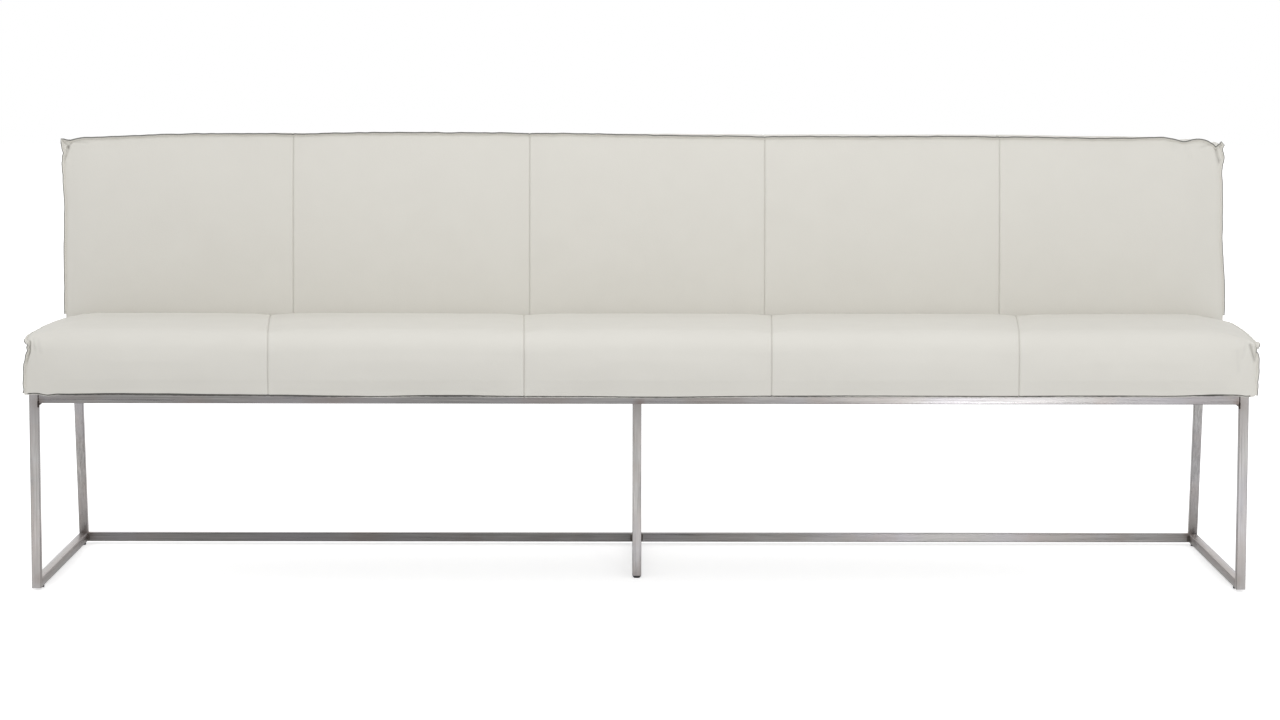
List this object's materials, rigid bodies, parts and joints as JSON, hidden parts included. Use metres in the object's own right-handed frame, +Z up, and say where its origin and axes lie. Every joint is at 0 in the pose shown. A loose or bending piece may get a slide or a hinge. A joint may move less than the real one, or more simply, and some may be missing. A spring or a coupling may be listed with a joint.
{
  "type": "dining bench",
  "caption": "Long dining bench with a leather seat and low backrest in sewn panels, on a slim brushed steel tube frame with floor runners and a middle leg.",
  "frame": {"origin": "centre of the overall footprint, on the floor under the glides", "axes": "+X towards the bench's right end as seen from the front, +Y from the seat's front to the backrest, +Z up"},
  "size_m": [2.3998, 0.6437, 0.878],
  "materials": {
    "steel": "fine brushed, satin",
    "weld": "dull, as welded",
    "nylon": "matt moulded nylon",
    "zinc": "bright zinc plated",
    "timber": "sawn, unfinished",
    "hardboard": "pressed fibre panel",
    "webbing": "woven elastic",
    "foam": "open-cell foam",
    "leather": "smooth, semi-matt, light warm grey",
    "leather_edge": "raw cut edge, darker warm grey",
    "dust_cloth": "thin non-woven cloth"
  },
  "bodies": {
    "root": {"front_leg_left": "steel", "front_leg_right": "steel", "front_leg_middle": "steel", "rear_leg_left": "steel", "rear_leg_right": "steel", "rear_leg_middle": "steel", "floor_runner_left": "steel", "floor_runner_right": "steel", "floor_runner_middle": "steel", "front_rail": "steel", "rear_rail": "steel", "side_rail_left": "steel", "side_rail_right": "steel", "middle_cross_rail": "steel", "rear_stretcher_left": "steel", "rear_stretcher_right": "steel", "tube_end_plates": "steel", "leg_foot_plate": "steel", "weld_beads": "weld", "mounting_tabs": "steel", "runner_glides": "nylon", "middle_leg_foot": "nylon", "coach_screws": "zinc", "slotted_packers": "nylon", "seat_front_board": "timber", "seat_rear_board": "timber", "seat_side_board_left": "timber", "seat_side_board_right": "timber", "seat_cross_timbers": "timber", "seat_corner_blocks": "timber", "seat_webbing": "webbing", "seat_foam": "foam", "seat_cover": "leather", "seat_end_seams": "leather_edge", "seat_dust_cover": "dust_cloth", "back_lower_board": "timber", "back_bottom_board": "timber", "back_top_board": "timber", "back_ribs": "timber", "back_webbing": "webbing", "back_rear_panel": "hardboard", "back_foam": "foam", "back_cover": "leather", "back_edge_seam": "leather_edge", "back_dust_cover": "dust_cloth", "back_bolts": "zinc", "back_bolt_washers": "zinc", "back_bolt_nuts": "zinc"}
  },
  "joints": []
}
